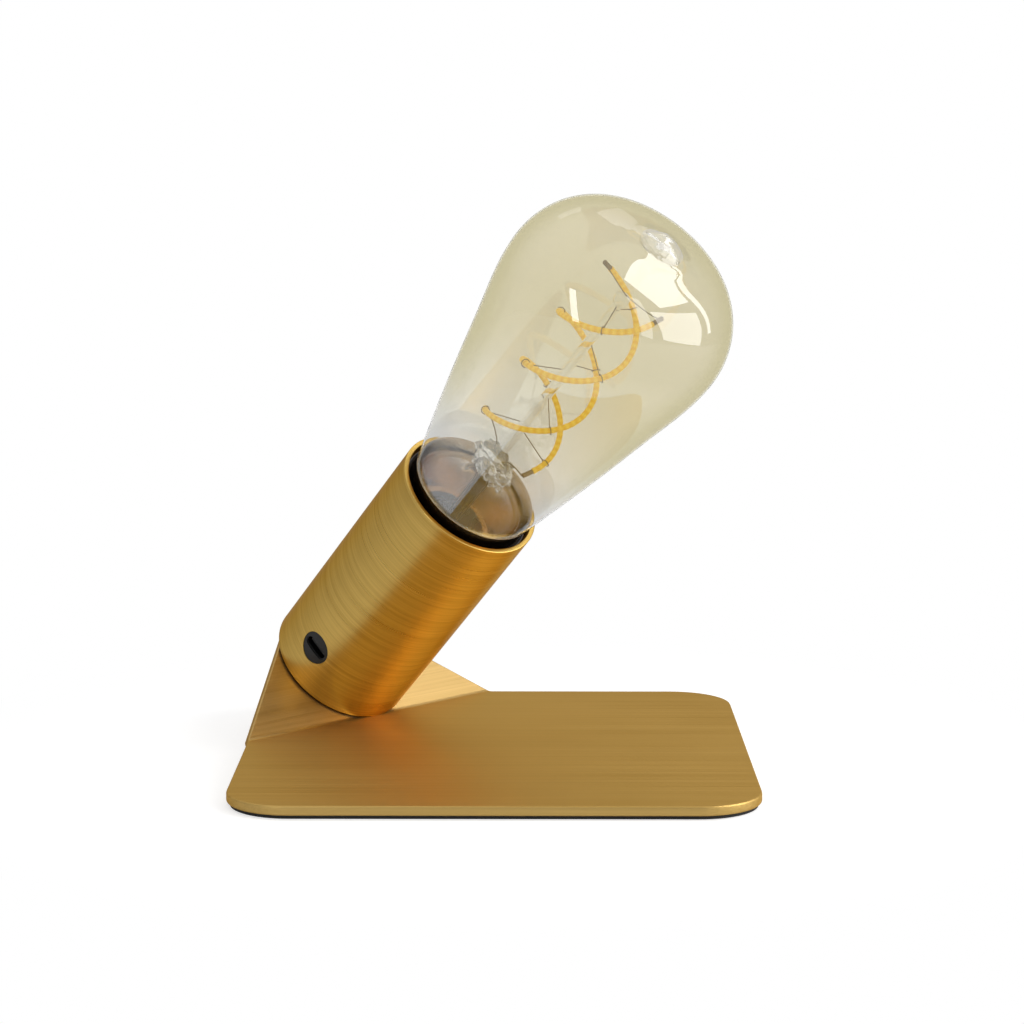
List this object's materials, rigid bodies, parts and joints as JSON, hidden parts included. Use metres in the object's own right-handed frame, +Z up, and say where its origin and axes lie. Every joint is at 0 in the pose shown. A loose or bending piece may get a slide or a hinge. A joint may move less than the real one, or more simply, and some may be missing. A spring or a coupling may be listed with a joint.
{
  "type": "table lamp",
  "caption": "Cordless table lamp: a square plate with one corner folded up, a leaning tube held on it by a magnet, and a bare filament bulb in the tube's mouth.",
  "frame": {"origin": "on the table, under the middle of the square plate", "axes": "+Z up, +Y towards the back, +X to the right seen from the front; the folded corner is at -X +Y"},
  "size_m": [0.1514, 0.1514, 0.1689],
  "materials": {
    "plate_brass": "brass-plated and brushed",
    "tube_brass": "brass-coloured, brushed round",
    "plain_brass": "bright",
    "plain_steel": "plain",
    "black_rubber": "matt",
    "black_plastic": "fine matt",
    "black_gloss": "glossy",
    "circuit_board": "lacquered",
    "battery_wrap": "shrink-wrapped",
    "wire_red": "soft",
    "wire_white": "soft",
    "wire_metal": "drawn wire",
    "filament_yellow": "silicone with phosphor",
    "amber_glass": "clear, amber tint",
    "clear_glass": "clear"
  },
  "bodies": {
    "root": {"base_plate": "plate_brass", "base_pad": "black_rubber"},
    "magnet_foot": {"foot_pad": "black_rubber", "magnet_cup": "plain_steel", "foot_magnet": "plain_steel"},
    "lamp_head": {"tube_shell": "tube_brass", "bottom_cap": "black_plastic", "bottom_cap_screws": "plain_steel", "chassis": "black_plastic", "control_board": "circuit_board", "board_components": "black_plastic", "board_screws": "plain_steel", "port_bezel": "black_plastic", "usb_receptacle": "plain_steel", "usb_tongue": "black_plastic", "button_bezel": "black_plastic", "button_switch": "black_plastic", "battery_cradle": "black_plastic", "battery_cell": "battery_wrap", "battery_tabs": "plain_steel", "battery_leads": "wire_red", "holder_body": "black_gloss", "holder_screws": "plain_steel", "holder_collar": "black_gloss", "holder_thread_shell": "plain_brass", "holder_centre_contact": "plain_brass", "holder_rivets": "plain_brass", "holder_terminals": "plain_brass", "holder_leads": "wire_white"},
    "power_button": {"power_button": "black_plastic"},
    "bulb_contact": {"bulb_insulator": "black_gloss", "bulb_centre_contact": "plain_steel"},
    "bulb": {"bulb_skirt": "plain_brass", "bulb_cap": "plain_brass", "bulb_glass": "amber_glass", "stem": "clear_glass", "centre_rod": "clear_glass", "exhaust_tube": "clear_glass", "bulb_driver": "circuit_board", "lead_wires": "wire_metal", "filament_terminals": "wire_metal", "filament": "filament_yellow", "filament_supports": "wire_metal"}
  },
  "joints": [
    {"name": "head_lift", "type": "slide", "parent": "root", "child": "magnet_foot", "axis": [0.5, -0.5, 0.7071], "range_m": [0, 0.06]},
    {"name": "head_spin", "type": "hinge", "parent": "magnet_foot", "child": "lamp_head", "pos_m": [-0.04964, 0.04964, 0.0192], "axis": [0.5, -0.5, 0.7071], "continuous": true},
    {"name": "button_press", "type": "slide", "parent": "lamp_head", "child": "power_button", "axis": [-0.6358, -0.7663, -0.0923], "range_m": [0, 0.0006], "stiffness_N_per_m": 400},
    {"name": "bulb_travel", "type": "slide", "parent": "lamp_head", "child": "bulb_contact", "axis": [0.5, -0.5, 0.7071], "range_m": [0, 0.022]},
    {"name": "bulb_turn", "type": "hinge", "parent": "bulb_contact", "child": "bulb", "pos_m": [-0.00764, 0.00764, 0.0786], "axis": [0.5, -0.5, 0.7071], "range_deg": [0, 2160]}
  ],
  "couplings": [
    {"joint": "bulb_travel", "follows": "bulb_turn", "m_per_rad": 0.00057757}
  ]
}
